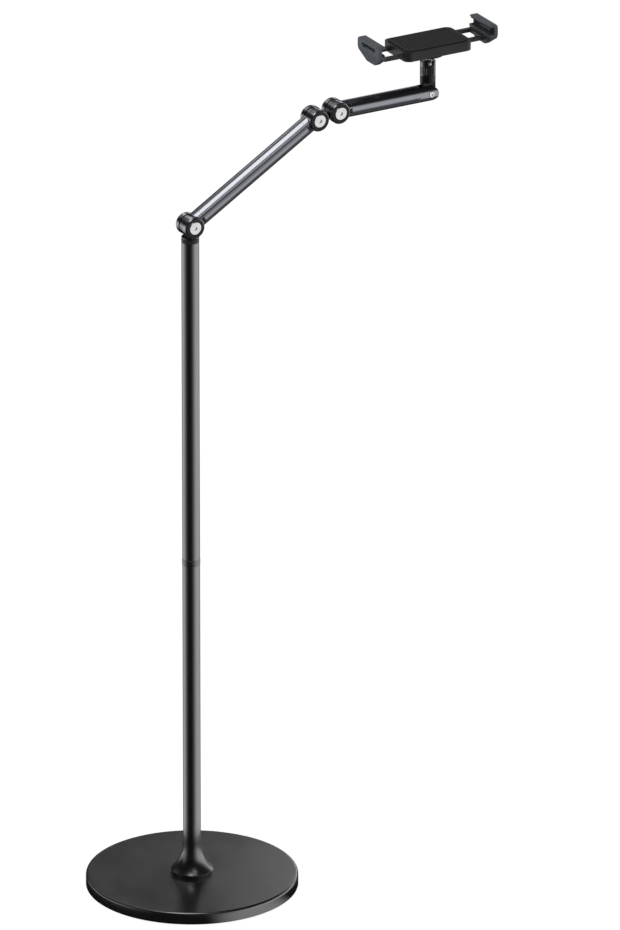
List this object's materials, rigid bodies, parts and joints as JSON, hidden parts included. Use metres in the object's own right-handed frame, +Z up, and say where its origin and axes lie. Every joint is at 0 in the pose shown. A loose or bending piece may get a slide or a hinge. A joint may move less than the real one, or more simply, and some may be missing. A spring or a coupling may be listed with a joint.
{
  "type": "tablet floor stand",
  "caption": "Tablet floor stand with a weighted round base, a slim pole, a folding arm on friction knuckles and a ball-headed, turning holder with sprung jaws.",
  "frame": {"origin": "centre of the base on the floor, under the pole", "axes": "+Z up along the pole, +X along the arm towards the holder, hinge axes along Y"},
  "size_m": [0.6265, 0.3, 1.2145],
  "materials": {
    "base_paint": "satin black powder coat",
    "pole_paint": "satin black powder coat",
    "cast_weight": "as cast, blackened",
    "black_rubber": "matt",
    "plain_steel": "zinc plated",
    "nickel": "bright plated",
    "black_aluminium": "satin black anodised",
    "black_coat": "semi-matt black coat",
    "black_plastic": "fine grain",
    "grey_plastic": "soft-touch dark grey"
  },
  "bodies": {
    "stand": {"base_pad": "black_rubber", "base_weight": "cast_weight", "base_cover": "base_paint", "base_stud": "plain_steel", "pole_flare": "base_paint", "pole_foot_plug": "plain_steel", "lower_pole": "pole_paint", "pole_coupler": "base_paint", "upper_pole": "pole_paint", "pole_bush": "black_plastic"},
    "turret": {"pole_lug": "black_coat", "swivel_retainer": "plain_steel", "swivel_screw": "plain_steel"},
    "lower_arm": {"lower_arm_tube": "black_aluminium", "lower_arm_foot": "black_aluminium", "lower_arm_head": "black_aluminium", "elbow_bolt": "nickel", "elbow_sleeve_nut": "nickel", "elbow_washers": "black_plastic", "lower_knuckle_bolt": "nickel", "lower_knuckle_sleeve_nut": "nickel", "lower_knuckle_washers": "black_plastic"},
    "knuckle": {"knuckle_link": "black_coat"},
    "upper_arm": {"upper_arm_tube": "black_aluminium", "upper_arm_foot": "black_aluminium", "upper_arm_fork": "black_aluminium", "upper_knuckle_bolt": "nickel", "upper_knuckle_sleeve_nut": "nickel", "upper_knuckle_washers": "black_plastic", "wrist_bolt": "nickel", "wrist_sleeve_nut": "nickel", "wrist_washers": "black_plastic"},
    "wrist": {"wrist_post": "black_coat", "ball_seat": "grey_plastic", "ball_cup": "black_coat"},
    "ball": {"ball_stud": "plain_steel", "turn_washer": "black_plastic"},
    "holder": {"turn_plate": "black_coat", "turn_screws": "plain_steel", "holder_back": "black_plastic", "holder_front": "black_plastic", "holder_sheet": "black_rubber", "housing_screws": "plain_steel", "closing_spring": "plain_steel"},
    "pinion_gear": {"pinion": "grey_plastic"},
    "right_clamp": {"right_slide": "black_plastic", "right_jaw": "grey_plastic", "right_jaw_liner": "black_rubber", "right_jaw_screws": "plain_steel"},
    "left_clamp": {"left_slide": "black_plastic", "left_jaw": "grey_plastic", "left_jaw_liner": "black_rubber", "left_jaw_screws": "plain_steel"}
  },
  "joints": [
    {"name": "pole_swivel", "type": "hinge", "parent": "stand", "child": "turret", "pos_m": [0, 0, 0.977], "axis": [0, 0, 1], "continuous": true},
    {"name": "elbow_hinge", "type": "hinge", "parent": "turret", "child": "lower_arm", "pos_m": [0, 0, 0.995], "axis": [0, -1, 0], "range_deg": [-43, 115]},
    {"name": "lower_knuckle_hinge", "type": "hinge", "parent": "lower_arm", "child": "knuckle", "pos_m": [0.19909, 0, 1.117], "axis": [0, -1, 0], "range_deg": [-65, 110]},
    {"name": "upper_knuckle_hinge", "type": "hinge", "parent": "knuckle", "child": "upper_arm", "pos_m": [0.23272, 0, 1.12203], "axis": [0, 1, 0], "range_deg": [-95, 80]},
    {"name": "wrist_hinge", "type": "hinge", "parent": "upper_arm", "child": "wrist", "pos_m": [0.38072, 0, 1.12203], "axis": [0, -1, 0], "range_deg": [-100, 15]},
    {"name": "ball_tilt", "type": "hinge", "parent": "wrist", "child": "ball", "pos_m": [0.38072, 0, 1.16403], "axis": [1, 0, 0], "range_deg": [-18, 60]},
    {"name": "holder_spin", "type": "hinge", "parent": "ball", "child": "holder", "pos_m": [0.38072, 0, 1.18403], "axis": [0, 0, 1], "continuous": true},
    {"name": "right_jaw_slide", "type": "slide", "parent": "holder", "child": "right_clamp", "axis": [1, 0, 0], "range_m": [-0.024, 0.021], "stiffness_N_per_m": 120, "springref_m": -0.12},
    {"name": "left_jaw_slide", "type": "slide", "parent": "holder", "child": "left_clamp", "axis": [-1, 0, 0], "range_m": [-0.024, 0.021]},
    {"name": "pinion_spin", "type": "hinge", "parent": "holder", "child": "pinion_gear", "pos_m": [0.38072, 0, 1.19303], "axis": [0, 0, 1], "range_deg": [-160, 140]}
  ],
  "couplings": [
    {"joint": "left_jaw_slide", "follows": "right_jaw_slide", "ratio": 1},
    {"joint": "pinion_spin", "follows": "right_jaw_slide", "rad_per_m": 111.11}
  ]
}
